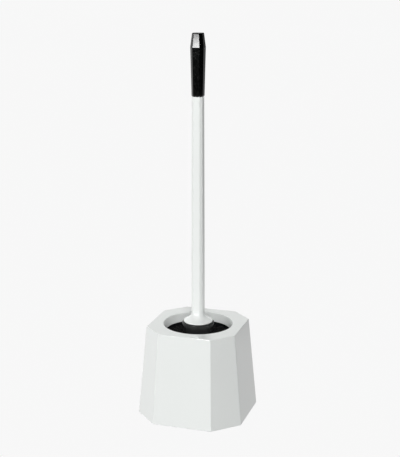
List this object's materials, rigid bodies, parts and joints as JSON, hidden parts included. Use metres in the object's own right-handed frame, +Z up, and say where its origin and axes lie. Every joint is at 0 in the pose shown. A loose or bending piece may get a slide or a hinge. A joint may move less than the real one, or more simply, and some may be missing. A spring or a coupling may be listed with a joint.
{
  "type": "toilet brush holder",
  "caption": "Free-standing toilet brush in a tapered square holder with chamfered corners; the brush lifts straight out of a round necked opening.",
  "frame": {"origin": "on the floor under the centre of the holder", "axes": "+Z up along the brush handle, -Y out of one wide face of the holder"},
  "size_m": [0.12, 0.12, 0.423],
  "materials": {
    "white_plastic": "glossy white moulded plastic",
    "black_plastic": "glossy black moulded plastic",
    "cup_plastic": "satin black moulded plastic",
    "bristle": "black nylon bristles",
    "pad_rubber": "dull soft pad"
  },
  "bodies": {
    "holder": {"holder_shell": "white_plastic", "inner_cup": "cup_plastic", "base_plate": "cup_plastic", "foot_pad_1": "pad_rubber", "foot_pad_2": "pad_rubber", "foot_pad_3": "pad_rubber", "foot_pad_4": "pad_rubber"},
    "brush": {"brush_rod": "white_plastic", "grip": "black_plastic", "head_core": "black_plastic", "bristle_row_1": "bristle", "bristle_row_2": "bristle", "bristle_row_3": "bristle", "bristle_row_4": "bristle", "bristle_row_5": "bristle", "bristle_row_6": "bristle", "bristle_row_7": "bristle", "bristle_row_8": "bristle", "bristle_row_9": "bristle", "end_tuft": "bristle"}
  },
  "joints": [
    {"name": "brush_lift", "type": "slide", "parent": "holder", "child": "brush", "axis": [0, 0, 1], "range_m": [0, 0.11]}
  ]
}
